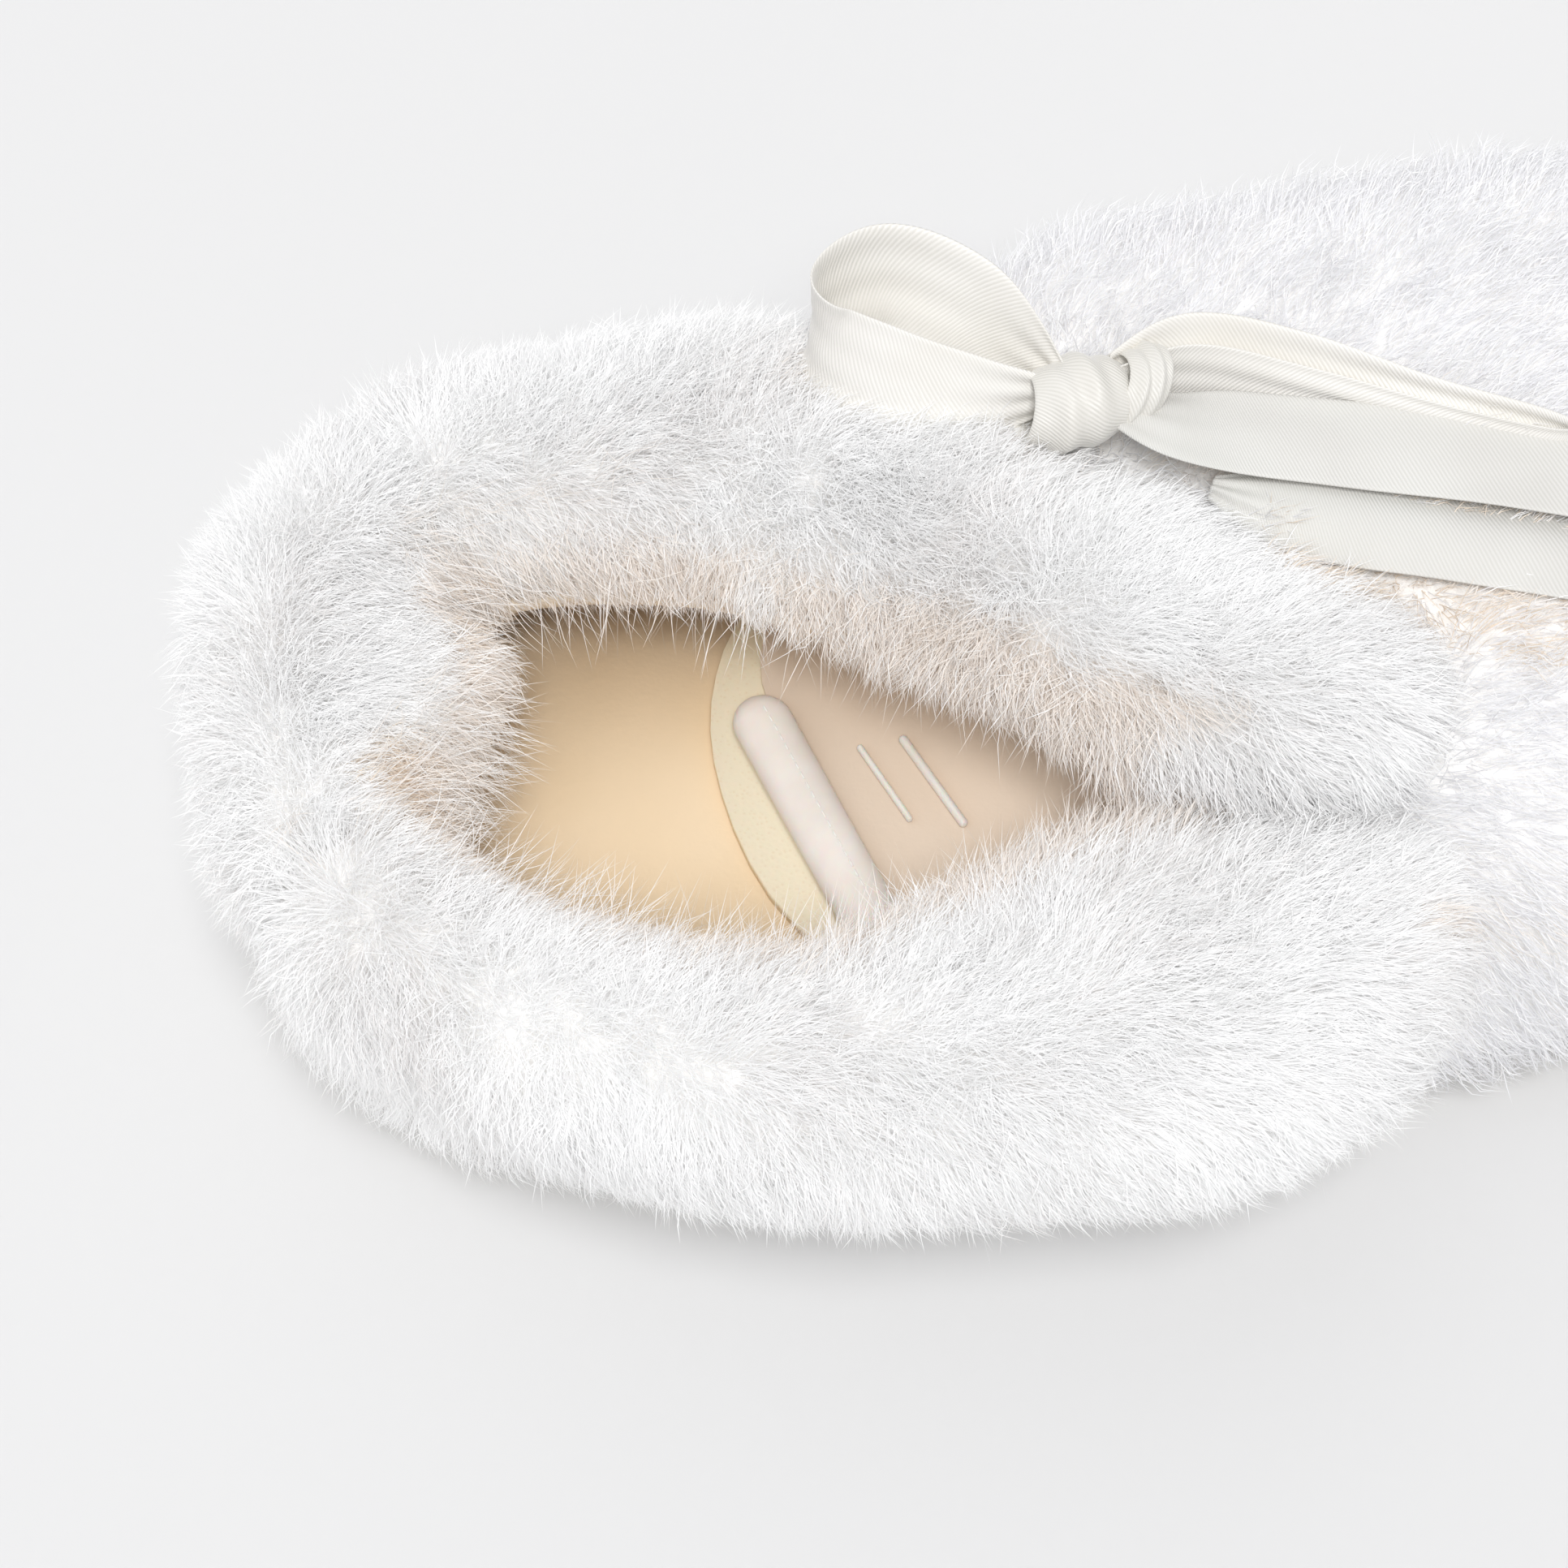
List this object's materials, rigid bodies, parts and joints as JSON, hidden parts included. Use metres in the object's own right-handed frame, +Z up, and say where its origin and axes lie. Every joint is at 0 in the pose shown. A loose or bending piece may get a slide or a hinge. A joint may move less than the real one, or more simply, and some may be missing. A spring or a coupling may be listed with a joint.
{
  "type": "fluffy house slipper",
  "caption": "Low slip-on house slipper with a thick white fur cuff rolled round the foot opening, fur vamp, tan lined footbed and satin bow.",
  "frame": {"origin": "on the flat underside of the outsole, below the arch of the foot", "axes": "+X towards the toe, +Y towards the wearer's left (lateral) side, +Z up"},
  "size_m": [0.2532, 0.1242, 0.0703],
  "materials": {
    "outsole": "matte off-white rubber",
    "midsole_foam": "closed-cell EVA foam",
    "rand_cloth": "woven cloth rand",
    "insole_board": "pressed fibre board",
    "footbed_foam": "soft open-cell foam",
    "sock": "smooth tan microfibre, semi-matte",
    "pad_foam": "light yellow skived foam",
    "pad_cover": "smooth beige microfibre",
    "silicone": "milky translucent silicone, glossy",
    "stiffener": "thermoformed stiffener sheet",
    "lining": "smooth tan microfibre",
    "binding": "cream binding tape",
    "padding": "soft foam roll",
    "fur": "long-pile white faux fur",
    "satin": "glossy ivory satin weave"
  },
  "bodies": {
    "root": {"outsole": "outsole", "midsole": "midsole_foam", "midsole_wrap": "rand_cloth", "insole_board": "insole_board", "footbed_foam": "footbed_foam", "footbed_sock": "sock", "comfort_pad_foam": "pad_foam", "comfort_pad_cover": "pad_cover", "grip_bar": "silicone", "grip_rib_rear": "silicone", "grip_rib_front": "silicone", "heel_counter": "stiffener", "toe_puff": "stiffener", "quarter_lining": "lining", "vamp_lining": "lining", "collar_binding": "binding", "cuff_padding": "padding", "cuff_medial": "fur", "cuff_heel": "fur", "cuff_lateral": "fur", "quarter_medial": "fur", "quarter_lateral": "fur", "vamp_fur": "fur", "ribbon_anchor": "satin", "ribbon_knot": "satin", "ribbon_loop_left": "satin", "ribbon_loop_right": "satin", "ribbon_tail_upper": "satin", "ribbon_tail_lower": "satin"}
  },
  "joints": []
}
